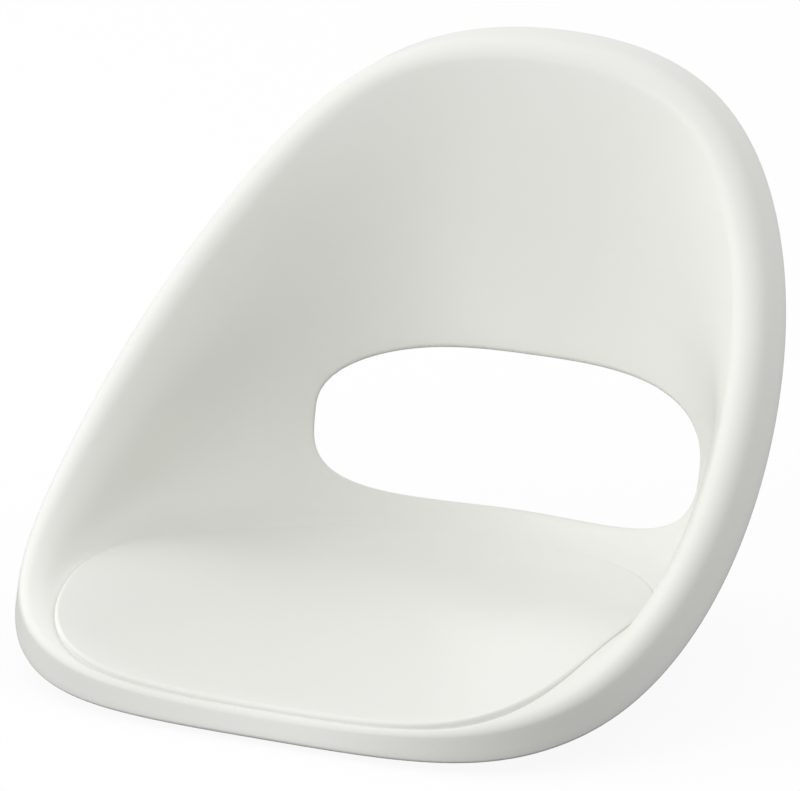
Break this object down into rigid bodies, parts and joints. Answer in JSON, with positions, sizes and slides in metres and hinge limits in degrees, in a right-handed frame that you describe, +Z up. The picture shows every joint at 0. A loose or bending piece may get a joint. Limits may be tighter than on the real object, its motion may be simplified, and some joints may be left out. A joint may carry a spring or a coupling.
{
  "type": "swivel chair seat shell",
  "caption": "One-piece moulded plastic bucket seat shell with a back opening, rolled rim and raised seat panel, for a swivel chair base.",
  "frame": {"origin": "centre of the base bolt pattern on the lower faces of the mounting bosses, on the swivel axis", "axes": "+Z up along the swivel axis, the seat's front edge at -Y, the back at +Y, +X to the sitter's left-right axis, right in the front view"},
  "size_m": [0.4774, 0.4577, 0.358],
  "materials": {
    "white_plastic": "fine-grained moulded polypropylene, soft satin",
    "brass": "turned brass"
  },
  "bodies": {
    "root": {"seat_shell": "white_plastic", "insert_front_left": "brass", "insert_front_right": "brass", "insert_rear_left": "brass", "insert_rear_right": "brass"}
  },
  "joints": []
}
